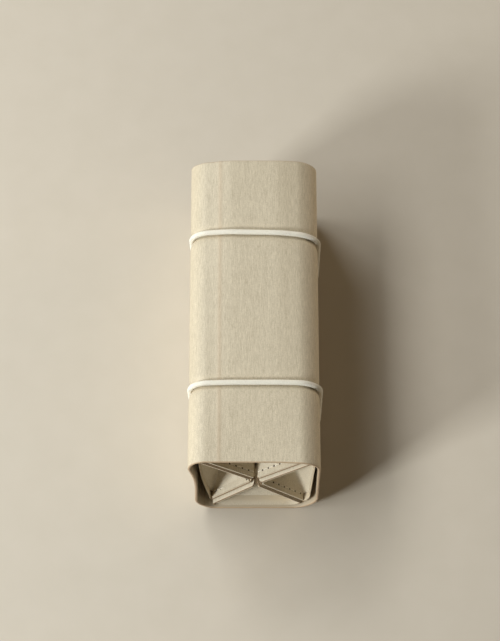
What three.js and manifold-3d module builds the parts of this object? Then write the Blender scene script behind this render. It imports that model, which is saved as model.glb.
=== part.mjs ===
// Knitting accessory roll: a leather cover wrapped round four folded trays and held by two elastic loops.
// Millimetres, +Z up. The near end faces -Y, and the roll lies on its bottom panel at Z = 0.
import * as THREE from 'three';
import Module from 'manifold-3d';

const wasm = await Module();
wasm.setup();

// Driving dimensions: cover
const ROLL_SIDE = 66;
const ROLL_LENGTH = 170;
const COVER_LEATHER = 1.4;
const UPPER_LEFT_RADIUS = 9;
const UPPER_RIGHT_RADIUS = 11;
const LOWER_RIGHT_RADIUS = 15;
const LOWER_LEFT_RADIUS = 12.5;
const FOLD_SLIT = 0.3;
const LEFT_TUCK = 2.6;
const LEFT_BOW_TOP = THREE.MathUtils.degToRad(13);
const LEFT_BOW_FOOT = THREE.MathUtils.degToRad(1);
const LEFT_BOW_REACH = 16;

// Driving dimensions: trays
const TRAY_LEATHER = 0.9;
const TRAY_SETBACK = 2.2;
const TRAY_CLEARANCE = 0.3;
const FOLD_CLEARANCE = 0.85;
const RIGHT_TRAY_GAP = 0.8;
const LEFT_TRAY_GAP = 1.8;
const LEFT_TRAY_TUCK = 6.3;
const RIGHT_TRAY_TUCK = 1.5;
const LEFT_TRAY_RADIUS = 9;
const CROSS_SHIFT = 0.9;
const WALL_GAP = 0.4;
const MOUTH_GAP = 0.3;
const SEAM_WIDTH = 4.2;
const SEAM_SPREAD = 1;
const GUSSET_DEPTH = 13.4;
const GUSSET_RISE = 8.5;
const GUSSET_RIM_DEPTH = 11.8;
const GUSSET_LEATHER = 1.2;

// Driving dimensions: elastic loops
const ELASTIC_DIAMETER = 2.8;
const ELASTIC_CLEARANCE = 0.3;
const FRONT_ELASTIC_FROM_END = 42;
const REAR_ELASTIC_FROM_END = 44;
const FRONT_ELASTIC_SKEW = THREE.MathUtils.degToRad(2);
const REAR_ELASTIC_SKEW = THREE.MathUtils.degToRad(1);
const DIMPLE_REACH = 12;
const DIMPLE_HEIGHT = 30;

// Fineness of round stretches
const ARC_STEPS = 4;
const BOW_STEPS = 10;
const DIMPLE_STEPS = 3;
const WALL_ROWS = 4;
const ELASTIC_SIDES = 8;
const ELASTIC_CORNER_STEPS = 8;

// Derived places
const halfSide = ROLL_SIDE / 2;
const trayLength = ROLL_LENGTH - 2 * TRAY_SETBACK;
const elasticLift = ELASTIC_DIAMETER + ELASTIC_CLEARANCE;
const quarter = Math.PI / 2;
const elastics = [
  { name: 'front_elastic_loop', y: FRONT_ELASTIC_FROM_END - ROLL_LENGTH / 2, skew: FRONT_ELASTIC_SKEW },
  { name: 'rear_elastic_loop', y: ROLL_LENGTH / 2 - REAR_ELASTIC_FROM_END, skew: REAR_ELASTIC_SKEW },
];

// Materials
const coverLeather = { color: 0xc5b99f, roughness: 0.62, metalness: 0 };
const trayLeather = { color: 0xcbbd9f, roughness: 0.7, metalness: 0 };
const elasticCord = { color: 0xe4dccb, roughness: 0.85, metalness: 0 };

function makeMesh(name, geometry, finish) {
  geometry.computeVertexNormals();
  const mesh = new THREE.Mesh(geometry, new THREE.MeshStandardMaterial(finish));
  mesh.name = name;
  return mesh;
}

// A closed section, anticlockwise in X and Z, carried along Y through the given stations
function loft(section, stations) {
  const ring = section.length;
  const positions = stations.flatMap((y) => section.flatMap((point) => [point.x, y, point.y]));
  const index = [];
  for (let row = 0; row < stations.length - 1; row += 1) {
    for (let i = 0; i < ring; i += 1) {
      const near = row * ring + i;
      const next = row * ring + ((i + 1) % ring);
      index.push(near, near + ring, next, next, near + ring, next + ring);
    }
  }
  const far = (stations.length - 1) * ring;
  for (const [a, b, c] of THREE.ShapeUtils.triangulateShape(section, [])) {
    index.push(a, b, c, far + a, far + c, far + b);
  }
  const geometry = new THREE.BufferGeometry();
  geometry.setAttribute('position', new THREE.Float32BufferAttribute(positions, 3));
  geometry.setIndex(index);
  return geometry;
}

// Stations along a piece of the given length, closer together where an elastic passes under it
function stationsFor(panel, length) {
  const stations = [-length / 2, length / 2];
  if (panel === 'top') {
    return stations;
  }
  for (const elastic of elastics) {
    for (let step = -DIMPLE_STEPS; step <= DIMPLE_STEPS; step += 1) {
      stations.push(elastic.y + (DIMPLE_REACH * step) / DIMPLE_STEPS);
    }
  }
  return stations.sort((a, b) => a - b);
}

function arcPoints(middle, radius, start, end) {
  const arc = new THREE.EllipseCurve(middle.x, middle.y, radius, radius, start, end);
  return arc.getPoints(ARC_STEPS);
}

// The bowed stretch of the left panel, drawn lying down: its top corner is on the left
const [bowTop, bowFoot] = sideCorners('left', LOWER_LEFT_RADIUS, LEFT_TUCK, 0);
function bowPoints(depth) {
  const start = new THREE.Vector2(Math.sin(LEFT_BOW_TOP), -Math.cos(LEFT_BOW_TOP));
  const end = new THREE.Vector2(-Math.sin(LEFT_BOW_FOOT), -Math.cos(LEFT_BOW_FOOT));
  const first = start.clone().multiplyScalar(bowTop.radius).add(bowTop.middle);
  const last = end.clone().multiplyScalar(bowFoot.radius).add(bowFoot.middle);
  const leave = new THREE.Vector2(-start.y, start.x).multiplyScalar(LEFT_BOW_REACH).add(first);
  const arrive = new THREE.Vector2(end.y, -end.x).multiplyScalar(LEFT_BOW_REACH).add(last);
  const curve = new THREE.CubicBezierCurve(first, leave, arrive, last);
  const points = [];
  for (let step = 1; step < BOW_STEPS; step += 1) {
    const tangent = curve.getTangent(step / BOW_STEPS);
    const inward = new THREE.Vector2(-tangent.y, tangent.x).multiplyScalar(depth);
    points.push(curve.getPoint(step / BOW_STEPS).add(inward));
  }
  return points;
}

// The rounded corners at the left and right ends of a panel, where the lower corners are tucked in
function sideCorners(panel, lowerLeftRadius, leftTuck, rightTuck) {
  const [leftRadius, rightRadius] = {
    bottom: [lowerLeftRadius, LOWER_RIGHT_RADIUS],
    right: [LOWER_RIGHT_RADIUS, UPPER_RIGHT_RADIUS],
    top: [UPPER_RIGHT_RADIUS, UPPER_LEFT_RADIUS],
    left: [UPPER_LEFT_RADIUS, lowerLeftRadius],
  }[panel];
  const left = new THREE.Vector2(leftRadius - halfSide, leftRadius - halfSide);
  const right = new THREE.Vector2(halfSide - rightRadius, rightRadius - halfSide);
  if (panel === 'bottom') {
    left.x += leftTuck;
    right.x -= rightTuck;
  } else if (panel === 'right') {
    left.y += rightTuck;
  } else if (panel === 'left') {
    right.y += leftTuck;
  }
  return [
    { middle: left, radius: leftRadius },
    { middle: right, radius: rightRadius },
  ];
}

// The outward direction of the straight stretch that runs from one round corner to the next, anticlockwise
function facingBetween(from, to) {
  const run = to.middle.clone().sub(from.middle);
  return run.angle() - Math.acos((from.radius - to.radius) / run.length());
}

// One skin of a side at a depth inside the cover's outer face, between two fold directions, split by slits
function sideSkin(side, depth, slit) {
  const [left, right] = side.corners;
  const [leftRadius, rightRadius] = side.corners.map((corner) => corner.radius - depth);
  const facing = THREE.MathUtils.euclideanModulo(facingBetween(left, right), 4 * quarter);
  const leftStart = side.folds[0] + slit / 2 / leftRadius;
  const leftEnd = side.bowed ? 3 * quarter + LEFT_BOW_TOP : facing;
  const rightStart = side.bowed ? 3 * quarter - LEFT_BOW_FOOT : facing;
  const rightEnd = side.folds[1] - slit / 2 / rightRadius;
  return [
    ...arcPoints(left.middle, leftRadius, leftStart, leftEnd),
    ...(side.bowed ? bowPoints(depth) : []),
    ...arcPoints(right.middle, rightRadius, rightStart, rightEnd),
  ];
}

// A strip of leather between two depths of a side
function makeStrip(name, side, depth, thickness, length, slit, finish) {
  const outer = sideSkin(side, depth, slit);
  const inner = sideSkin(side, depth + thickness, slit);
  return makeMesh(name, loft([...outer, ...inner.reverse()], stationsFor(side.panel, length)), finish);
}

function makeCoverPanel(panel) {
  const side = {
    panel,
    corners: sideCorners(panel, LOWER_LEFT_RADIUS, LEFT_TUCK, 0),
    folds: [2.5 * quarter, 3.5 * quarter],
    bowed: panel === 'left',
  };
  return makeStrip(`cover_${panel}_panel`, side, 0, COVER_LEATHER, ROLL_LENGTH, FOLD_SLIT, coverLeather);
}

// How a tray lies in its panel's frame: its corners, and the cross where the four mouths meet
function layTray(panel, turn) {
  const gaps = { bottom: TRAY_CLEARANCE, right: RIGHT_TRAY_GAP, top: TRAY_CLEARANCE, left: LEFT_TRAY_GAP };
  const cross = new THREE.Vector2(CROSS_SHIFT, 0).rotateAround(new THREE.Vector2(), -turn * quarter);
  const corners = sideCorners(panel, LEFT_TRAY_RADIUS, LEFT_TRAY_TUCK, RIGHT_TRAY_TUCK);
  const folds = corners.map((corner) => corner.middle.clone().sub(cross).angle());
  const baseDepth = COVER_LEATHER + gaps[panel];
  return { panel, cross, corners, folds, baseDepth, halfMouth: (folds[1] - folds[0]) / 2 };
}

// A wall runs from a corner to the cross, just beside the line between two trays
function layWall(tray, side) {
  const { middle: corner, radius } = tray.corners[side < 0 ? 0 : 1];
  const baseRadius = radius - tray.baseDepth - TRAY_LEATHER;
  const up = tray.cross.clone().sub(corner);
  const length = up.length();
  up.normalize();
  const inward = new THREE.Vector2(-up.y, up.x).multiplyScalar(side);
  const point = (along, offset) => corner.clone().addScaledVector(up, along).addScaledVector(inward, offset);
  // Where a skin at an offset comes within a clearance of the base's rounded corner
  const footAt = (clearance, offset) => -Math.sqrt((baseRadius - clearance) ** 2 - offset ** 2);
  // Where a skin at an offset comes within half a gap of the tray's middle
  const topAt = (gap, offset) => {
    const half = tray.halfMouth;
    return length - (gap / 2 + offset * Math.cos(half)) / Math.sin(half);
  };
  return { side, inward, point, footAt, topAt };
}

function makeTrayBase(tray) {
  const name = `${tray.panel}_tray_base`;
  return makeStrip(name, tray, tray.baseDepth, TRAY_LEATHER, trayLength, WALL_GAP, trayLeather);
}

// A wall is a flat strip whose mouth edge is a rounded fold
function makeTrayWall(name, tray, side) {
  const wall = layWall(tray, side);
  const outside = WALL_GAP / 2;
  const middle = outside + TRAY_LEATHER / 2;
  const inside = outside + TRAY_LEATHER;
  const foot = wall.footAt(0, inside) + FOLD_CLEARANCE;
  const tip = wall.point(wall.topAt(MOUTH_GAP, inside) - TRAY_LEATHER / 2, middle);
  const turn = wall.inward.clone().negate().angle();
  const start = side > 0 ? turn : turn - Math.PI;
  const round = arcPoints(tip, TRAY_LEATHER / 2, start, start + Math.PI);
  const rows = Array.from({ length: WALL_ROWS }, (_, row) => foot + ((row + 1) * DIMPLE_HEIGHT) / WALL_ROWS);
  const [down, up] = side > 0 ? [inside, outside] : [outside, inside];
  const section = [
    wall.point(foot, down),
    wall.point(foot, up),
    ...rows.map((row) => wall.point(row, up)),
    ...round,
    ...rows.reverse().map((row) => wall.point(row, down)),
  ];
  return makeMesh(name, loft(section, stationsFor(tray.panel, trayLength)), trayLeather);
}

function toSolid(geometry) {
  return new wasm.Manifold(new wasm.Mesh({
    numProp: 3,
    vertProperties: new Float32Array(geometry.attributes.position.array),
    triVerts: new Uint32Array(geometry.index.array),
  }));
}

function toGeometry(solid) {
  const mesh = solid.getMesh();
  const geometry = new THREE.BufferGeometry();
  geometry.setAttribute('position', new THREE.Float32BufferAttribute(mesh.vertProperties, 3));
  geometry.setIndex(Array.from(mesh.triVerts));
  return geometry;
}

// A sheet folded inwards from a flat outline: its back skin lies a leather's depth behind its front one
function foldedSheet(outline, fold, faces) {
  const front = [...outline, fold];
  const count = front.length;
  const positions = [0, GUSSET_LEATHER].flatMap((back) => front.flatMap((p) => [p.x, p.y + back, p.z]));
  const index = faces.flatMap(([a, b, c]) => [a, b, c, a + count, c + count, b + count]);
  outline.forEach((_, i) => {
    const next = (i + 1) % outline.length;
    index.push(i, i + count, next, next, i + count, next + count);
  });
  const geometry = new THREE.BufferGeometry();
  geometry.setAttribute('position', new THREE.Float32BufferAttribute(positions, 3));
  geometry.setIndex(index);
  return toSolid(geometry);
}

// A seam strip, sewn flat against the inside of a wall's end
function seamStrip(wall, foot, top, inner) {
  const outer = inner - TRAY_LEATHER;
  const outline = [
    wall.point(foot, inner),
    wall.point(foot, outer),
    wall.point(top, outer),
    wall.point(top, inner),
  ];
  const section = wall.side > 0 ? outline : outline.reverse();
  return toSolid(loft(section, [-trayLength / 2, SEAM_WIDTH + 2 * GUSSET_LEATHER - trayLength / 2]));
}

// The near end of a tray: a seam strip along each wall, and panels folded inwards between the strips
function gussetSolid(tray) {
  const inner = WALL_GAP / 2 + TRAY_CLEARANCE + 2 * TRAY_LEATHER;
  const place = (point, depth) => new THREE.Vector3(point.x, depth - trayLength / 2, point.y);
  const strips = [-1, 1].map((side) => {
    const wall = layWall(tray, side);
    const foot = wall.footAt(TRAY_CLEARANCE, inner);
    const top = wall.topAt(SEAM_SPREAD, inner);
    const middle = inner - TRAY_LEATHER / 2;
    return {
      solid: seamStrip(wall, foot, top, inner),
      foot: wall.point(foot + TRAY_LEATHER / 2, middle),
      top: wall.point(top - TRAY_LEATHER / 2, middle),
    };
  });
  const [left, right] = strips;
  const depth = tray.baseDepth + TRAY_LEATHER + TRAY_CLEARANCE;
  const feet = [left.foot, ...footPoints(tray, depth), right.foot];
  const footMiddle = left.foot.clone().lerp(right.foot, 0.5);
  const rise = tray.cross.clone().sub(footMiddle).setLength(GUSSET_RISE);
  const fold = place(footMiddle.add(rise), SEAM_WIDTH + GUSSET_DEPTH);
  const rim = place(left.top.clone().lerp(right.top, 0.5), SEAM_WIDTH + GUSSET_RIM_DEPTH);
  const outline = [
    ...feet.map((point) => place(point, SEAM_WIDTH)),
    place(right.top, SEAM_WIDTH),
    rim,
    place(left.top, SEAM_WIDTH),
  ];
  const last = feet.length - 1;
  const [rightTop, rimAt, leftTop, foldAt] = [last + 1, last + 2, last + 3, last + 4];
  const faces = feet.slice(1).map((_, i) => [i, i + 1, foldAt]);
  faces.push([last, rightTop, rimAt], [last, rimAt, foldAt], [0, foldAt, rimAt], [0, rimAt, leftTop]);
  return wasm.Manifold.union([foldedSheet(outline, fold, faces), left.solid, right.solid]);
}

// The far end's gusset is the near one's mirror image
function makeGusset(name, tray, end) {
  const geometry = toGeometry(gussetSolid(tray));
  if (end > 0) {
    geometry.scale(1, -1, 1);
    geometry.index.array.reverse();
  }
  return makeMesh(name, geometry, trayLeather);
}

// The ends of a base's flat stretch
function footPoints(tray, depth) {
  return sideSkin(tray, depth, WALL_GAP).slice(ARC_STEPS, -ARC_STEPS);
}

function makeTray(panel, turn) {
  const tray = layTray(panel, turn);
  return [
    makeTrayBase(tray),
    makeTrayWall(`${panel}_tray_first_wall`, tray, -1),
    makeTrayWall(`${panel}_tray_second_wall`, tray, 1),
    makeGusset(`${panel}_tray_front_gusset`, tray, -1),
    makeGusset(`${panel}_tray_rear_gusset`, tray, 1),
  ];
}

// An elastic loop: a cord drawn taut round the four rounded corners
function makeElastic(elastic) {
  const out = ELASTIC_CLEARANCE + ELASTIC_DIAMETER / 2;
  const round = (x, z, radius) => ({ middle: new THREE.Vector2(x, z), radius: radius + out });
  const lowerLeftX = LEFT_TUCK + LOWER_LEFT_RADIUS - halfSide;
  const corners = [
    round(lowerLeftX, LOWER_LEFT_RADIUS + elasticLift, LOWER_LEFT_RADIUS),
    round(halfSide - LOWER_RIGHT_RADIUS, LOWER_RIGHT_RADIUS + elasticLift, LOWER_RIGHT_RADIUS),
    round(halfSide - UPPER_RIGHT_RADIUS, ROLL_SIDE - UPPER_RIGHT_RADIUS, UPPER_RIGHT_RADIUS),
    round(UPPER_LEFT_RADIUS - halfSide, ROLL_SIDE - UPPER_LEFT_RADIUS, UPPER_LEFT_RADIUS),
  ];
  const rings = [];
  corners.forEach((corner, i) => {
    const before = facingBetween(corners[(i + 3) % 4], corner);
    const after = facingBetween(corner, corners[(i + 1) % 4]);
    const turn = THREE.MathUtils.euclideanModulo(after - before, 4 * quarter);
    for (let step = 0; step <= ELASTIC_CORNER_STEPS; step += 1) {
      const angle = before + (turn * step) / ELASTIC_CORNER_STEPS;
      const away = new THREE.Vector2(Math.cos(angle), Math.sin(angle));
      rings.push({ away, middle: corner.middle.clone().addScaledVector(away, corner.radius) });
    }
  });
  return makeMesh(elastic.name, ringTube(rings), elasticCord);
}

// A round cord through a closed chain of rings lying in the plane of X and Z
function ringTube(rings) {
  const positions = [];
  const index = [];
  rings.forEach(({ away, middle }, row) => {
    for (let i = 0; i < ELASTIC_SIDES; i += 1) {
      const angle = (4 * quarter * (i + 0.5)) / ELASTIC_SIDES;
      const across = (ELASTIC_DIAMETER / 2) * Math.cos(angle);
      const point = middle.clone().addScaledVector(away, across);
      positions.push(point.x, (ELASTIC_DIAMETER / 2) * Math.sin(angle), point.y);
      const near = row * ELASTIC_SIDES + i;
      const next = row * ELASTIC_SIDES + ((i + 1) % ELASTIC_SIDES);
      const ahead = ((row + 1) % rings.length) * ELASTIC_SIDES - row * ELASTIC_SIDES;
      index.push(near, next, near + ahead, next, next + ahead, near + ahead);
    }
  });
  const geometry = new THREE.BufferGeometry();
  geometry.setAttribute('position', new THREE.Float32BufferAttribute(positions, 3));
  geometry.setIndex(index);
  return geometry;
}

// Each elastic passes under the roll and draws the leather up there by its own thickness
function dimpleLift(point) {
  const low = 1 - THREE.MathUtils.smoothstep(point.z, elasticLift, DIMPLE_HEIGHT);
  let lift = 0;
  for (const elastic of elastics) {
    const away = Math.abs(point.y - elastic.y - point.x * Math.tan(elastic.skew));
    const near = 1 - THREE.MathUtils.smoothstep(away, ELASTIC_DIAMETER, DIMPLE_REACH);
    lift = Math.max(lift, elasticLift * near);
  }
  return lift * low;
}

function drawUpOverElastics(mesh) {
  mesh.updateWorldMatrix(true, false);
  const toLocal = mesh.matrixWorld.clone().invert();
  const places = mesh.geometry.attributes.position;
  const point = new THREE.Vector3();
  for (let i = 0; i < places.count; i += 1) {
    point.fromBufferAttribute(places, i).applyMatrix4(mesh.matrixWorld);
    point.z += dimpleLift(point);
    point.applyMatrix4(toLocal);
    places.setXYZ(i, point.x, point.y, point.z);
  }
  mesh.geometry.computeVertexNormals();
}

// Assembly: four sides turned about the roll's middle, then the elastic loops
const roll = new THREE.Group();
roll.name = 'knitting_accessory_roll';
['bottom', 'right', 'top', 'left'].forEach((panel, turn) => {
  const side = new THREE.Group();
  side.position.z = halfSide;
  side.rotation.y = -turn * quarter;
  side.add(makeCoverPanel(panel), ...makeTray(panel, turn));
  roll.add(side);
});
roll.traverse((piece) => {
  if (piece.isMesh) {
    drawUpOverElastics(piece);
  }
});
for (const elastic of elastics) {
  const loop = makeElastic(elastic);
  loop.position.y = elastic.y;
  loop.rotation.z = elastic.skew;
  roll.add(loop);
}

export default roll;
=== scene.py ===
# %% [markdown]
# # A knitting accessory roll
# One leather cover is wrapped round four folded trays, and two elastic loops hold it shut.
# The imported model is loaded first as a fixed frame. It says where every piece is and which body moves it,
# so the pieces made below go where the frame says, and nothing has to be fitted by eye.

# %% Load the frame
import math
from functools import partial

import bmesh
import bpy
import numpy as np
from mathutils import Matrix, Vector


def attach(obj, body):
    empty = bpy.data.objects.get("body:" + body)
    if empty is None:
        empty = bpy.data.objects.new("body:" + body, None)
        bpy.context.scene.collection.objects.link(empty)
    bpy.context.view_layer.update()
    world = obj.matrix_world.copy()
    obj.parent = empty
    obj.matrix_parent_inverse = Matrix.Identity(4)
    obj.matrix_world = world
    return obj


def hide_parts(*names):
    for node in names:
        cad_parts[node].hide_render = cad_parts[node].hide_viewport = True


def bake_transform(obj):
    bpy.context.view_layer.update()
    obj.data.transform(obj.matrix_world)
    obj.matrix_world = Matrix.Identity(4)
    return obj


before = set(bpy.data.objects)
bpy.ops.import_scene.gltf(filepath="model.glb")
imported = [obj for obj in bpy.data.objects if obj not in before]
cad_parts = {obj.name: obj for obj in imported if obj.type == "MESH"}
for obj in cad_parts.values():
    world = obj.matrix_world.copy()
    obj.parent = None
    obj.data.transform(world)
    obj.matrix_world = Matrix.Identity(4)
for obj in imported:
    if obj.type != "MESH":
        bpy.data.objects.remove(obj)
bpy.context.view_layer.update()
scene = bpy.context.scene

# %% [markdown]
# ## The camera
# The roll is seen from above its near end, with a long lens, so its sides hardly converge.
# The camera comes first because every later choice is judged through it.

# %% Camera
CAMERA_ELEVATION = math.radians(65.49)
CAMERA_DISTANCE = 1.1959
LOOK_AT = Vector((-0.0021, 0.0223, 0.0))
SENSOR_WIDTH, FOCAL_LENGTH, CLIP_START = 36, 124.57, 0.01


def put_in_scene(name, data):
    obj = bpy.data.objects.new(name, data)
    scene.collection.objects.link(obj)
    return obj


camera = put_in_scene("camera", bpy.data.cameras.new("camera"))
back = Vector((0, -math.cos(CAMERA_ELEVATION), math.sin(CAMERA_ELEVATION)))
camera.location = LOOK_AT + back * CAMERA_DISTANCE
camera.rotation_euler = (math.pi / 2 - CAMERA_ELEVATION, 0, 0)
camera.data.sensor_width = SENSOR_WIDTH
camera.data.lens = FOCAL_LENGTH
camera.data.clip_start = CLIP_START
scene.camera = camera
print("camera at", [round(c, 3) for c in camera.location])

# %% [markdown]
# ## Sizes of the roll
# The first group repeats the sizes of the solid model, in millimetres, because the softer shapes below lie in the
# same places. The second group is only here: how far the trays' ends are out of line, and how tips and folds give.
# The section is drawn once for each of the four sides, lying as a bottom side, and then turned about the middle.

# %% Sizes and the section
MM = 0.001
QUARTER = math.pi / 2
SIDE, LENGTH = 66.0, 170.0
HALF = SIDE / 2
SIDES = ["bottom", "right", "top", "left"]
COVER_LEATHER, TRAY_LEATHER = 1.4, 0.9
UPPER_LEFT, UPPER_RIGHT, LOWER_RIGHT, LOWER_LEFT = 9.0, 11.0, 15.0, 12.5
TUCK, BOW_REACH = 2.6, 16.0
BOW_TOP, BOW_FOOT = math.radians(13), math.radians(1)
SETBACK, CLEARANCE, WALL_GAP, MOUTH_GAP = 2.2, 0.3, 0.4, 0.3
TRAY_LENGTH = LENGTH - 2 * SETBACK
TRAY_GAPS = {"bottom": 0.3, "right": 0.8, "top": 0.3, "left": 1.8}
LEFT_TRAY_TUCK, RIGHT_TRAY_TUCK, LEFT_TRAY_RADIUS, CROSS_SHIFT = 6.3, 1.5, 9.0, 0.9

TRAY_SHIFTS = {"bottom": -0.9, "right": -0.7, "top": 0.8, "left": 0.9}
TIP_EASE, TIP_ROUND, LEFT_BULGE, LEFT_STAND_OFF = 0.3, 2.2, 0.9, 1.5
ARC_STEPS, BOW_STEPS, STRAIGHT_POINTS = 10, 40, 34


def turned(turn, points):
    """Points of a side drawn as a bottom side, turned to where that side is on the roll."""
    x, z = np.asarray(points, float).T
    x, z = [(x, z), (-z, x), (-x, -z), (z, -x)][turn]
    return np.stack([x, z + HALF], axis=1)


def side_corners(side, lower_left, left_tuck, right_tuck):
    """Middle and radius of the rounded corner at each end of a side."""
    a, b = {"bottom": (lower_left, LOWER_RIGHT), "right": (LOWER_RIGHT, UPPER_RIGHT),
            "top": (UPPER_RIGHT, UPPER_LEFT), "left": (UPPER_LEFT, lower_left)}[side]
    left, right = np.array([a - HALF, a - HALF]), np.array([HALF - b, b - HALF])
    if side == "bottom":
        left[0] += left_tuck
        right[0] -= right_tuck
    elif side == "right":
        left[1] += right_tuck
    elif side == "left":
        right[1] += left_tuck
    return (left, a), (right, b)


def facing_between(start, end):
    """The outward direction of the straight stretch from one rounded corner to the next, anticlockwise."""
    run = end[0] - start[0]
    return math.atan2(run[1], run[0]) - math.acos((start[1] - end[1]) / np.linalg.norm(run))


def arc(middle, radius, start, end, steps=ARC_STEPS):
    angles = np.linspace(start, end, steps + 1)
    return np.stack([middle[0] + radius * np.cos(angles), middle[1] + radius * np.sin(angles)], axis=1)


def bow(depth):
    """The left side's S-shaped stretch, drawn lying down."""
    start = np.array([math.sin(BOW_TOP), -math.cos(BOW_TOP)])
    end = np.array([-math.sin(BOW_FOOT), -math.cos(BOW_FOOT)])
    (top, top_radius), (foot, foot_radius) = side_corners("left", LOWER_LEFT, TUCK, 0)
    first, last = start * top_radius + top, end * foot_radius + foot
    leave = first + BOW_REACH * np.array([-start[1], start[0]])
    arrive = last + BOW_REACH * np.array([end[1], -end[0]])
    t = np.linspace(0, 1, BOW_STEPS + 1)[1:-1, None]
    line = first * (1 - t) ** 3 + 3 * leave * t * (1 - t) ** 2 + 3 * arrive * t ** 2 * (1 - t) + last * t ** 3
    slope = 3 * ((leave - first) * (1 - t) ** 2 + 2 * (arrive - leave) * t * (1 - t) + (last - arrive) * t ** 2)
    slope /= np.linalg.norm(slope, axis=1, keepdims=True)
    return line + depth * np.stack([-slope[:, 1], slope[:, 0]], axis=1)


def skin(corners, depth, folds, bowed=False, bulge=0.0):
    """A side's line at a depth inside the cover's outer face, between two directions at its corners."""
    (left, left_radius), (right, right_radius) = corners
    facing = facing_between(*corners) % (4 * QUARTER)
    first = arc(left, left_radius - depth, folds[0], 3 * QUARTER + BOW_TOP if bowed else facing)
    last = arc(right, right_radius - depth, 3 * QUARTER - BOW_FOOT if bowed else facing, folds[1])
    middle = bow(depth) if bowed else np.linspace(first[-1], last[0], STRAIGHT_POINTS)[1:-1]
    swell = bulge * np.sin(np.linspace(0, math.pi, len(middle)))[:, None]
    middle = middle + swell * np.array([math.cos(facing), math.sin(facing)])
    return np.concatenate([first, middle, last])


def cover_side(side):
    """The cover's outer line on one side, from the middle of one corner to the middle of the next."""
    return skin(side_corners(side, LOWER_LEFT, TUCK, 0), 0, (2.5 * QUARTER, 3.5 * QUARTER), side == "left")


print("section:", len(cover_side("left")), "points on the bowed side")

# %% [markdown]
# ## Leather as a sheet
# Every leather piece is a sheet of one thickness that follows a line, so one function makes them all.
# It carries the line along the roll, gives it two faces and rounds the cut edges, which catch the light.
# Two attributes remember where each point is: how far through the leather it lies, and whether it is on a cut edge.
# Leather also gives. It is drawn up over the elastics below, pinched by them elsewhere, and the top sinks a little
# towards its corners at the far end, so three small functions move the points after they are placed.

# %% Sheet maker
ELASTIC_DIAMETER, ELASTIC_CLEARANCE = 2.8, 0.3
ELASTIC_LIFT = ELASTIC_DIAMETER + ELASTIC_CLEARANCE
ELASTICS = {"front": (-41.9, math.radians(0.1)), "rear": (42.1, math.radians(-1.15))}
DIMPLE_REACH, DIMPLE_HEIGHT = 12.0, 30.0
BITE, BITE_REACH, BITTEN_DEPTHS, BITTEN_HEIGHTS = 1.3, 3.0, (2.5, 7.0), (2.0, 16.0)
LEFT_BITE, LEFT_BITE_OUT, LEFT_BITE_HEIGHTS = 1.0, (20.0, 30.0), (20.0, 50.0)
SQUARENESS = 8
DOME_DROP, DOME_POWER, DOME_ACROSS, DOME_HEIGHTS = 2.8, 1.6, (10.0, 31.0), (38.0, 58.0)
EDGE_ROUND, PARED_WIDTH, PARED_AWAY, PARED_PALER, TRIM_REACH = 0.4, 3.0, 0.8, 0.85, 6.0
EDGE_TURN = np.linspace(0, QUARTER, 4)[1:]
SLOW_WAVE, QUICK_WAVE, QUICK_SHARE = (0.071, 0.09), (0.163, -0.12), 0.6
SHARP_FOLD = math.radians(50)


def smoothstep(value, low, high):
    t = np.clip((value - low) / (high - low), 0, 1)
    return t * t * (3 - 2 * t)


def drawn_up(points):
    """Lifts the leather where an elastic passes under the roll."""
    low = 1 - smoothstep(points[:, 2], ELASTIC_LIFT, DIMPLE_HEIGHT)
    lift = np.zeros(len(points))
    for y, skew in ELASTICS.values():
        away = np.abs(points[:, 1] - y - points[:, 0] * math.tan(skew))
        lift = np.maximum(lift, ELASTIC_LIFT * (1 - smoothstep(away, ELASTIC_DIAMETER, DIMPLE_REACH)))
    points[:, 2] += lift * low
    return points


def pinched(points):
    """Draws the outer leather in under an elastic, on the sides and the top."""
    x, z = points[:, 0] / HALF, points[:, 2] / HALF - 1
    outward = np.stack([np.sign(v) * np.abs(v) ** (SQUARENESS - 1) for v in (x, z)], axis=1)
    outward /= np.linalg.norm(outward, axis=1, keepdims=True) + 1e-12
    depth = HALF * (1 - (np.abs(x) ** SQUARENESS + np.abs(z) ** SQUARENESS) ** (1 / SQUARENESS))
    hold = (1 - smoothstep(depth, *BITTEN_DEPTHS)) * smoothstep(points[:, 2], *BITTEN_HEIGHTS)
    upper_left = smoothstep(-points[:, 0], *LEFT_BITE_OUT) * smoothstep(points[:, 2], *LEFT_BITE_HEIGHTS)
    bite = BITE + LEFT_BITE * upper_left
    for y, skew in ELASTICS.values():
        away = points[:, 1] - y - points[:, 0] * math.tan(skew)
        points[:, [0, 2]] -= outward * (bite * hold * np.exp(-(away / BITE_REACH) ** 2))[:, None]
    return points


def domed(points):
    """Lets the top fall away towards its two corners, not at the near end and most at the far end."""
    along = 1 - np.clip(0.5 - points[:, 1] / LENGTH, 0, 1) ** DOME_POWER
    across = smoothstep(np.abs(points[:, 0]), *DOME_ACROSS)
    points[:, 2] -= DOME_DROP * along * across * smoothstep(points[:, 2], *DOME_HEIGHTS)
    return points


def inward_of(line):
    slope = np.gradient(line, axis=0)
    slope /= np.linalg.norm(slope, axis=1, keepdims=True)
    return slope, np.stack([-slope[:, 1], slope[:, 0]], axis=1)


def length_of(line):
    return np.linalg.norm(np.diff(line, axis=0), axis=1).sum()


def unit(vector):
    return vector / np.linalg.norm(vector)


def tidy_normals(obj):
    bm = bmesh.new()
    bm.from_mesh(obj.data)
    bmesh.ops.recalc_face_normals(bm, faces=bm.faces)
    bm.to_mesh(obj.data)
    bm.free()
    obj.data.shade_smooth()
    obj.data.set_sharp_from_angle(angle=SHARP_FOLD)
    return obj


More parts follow.
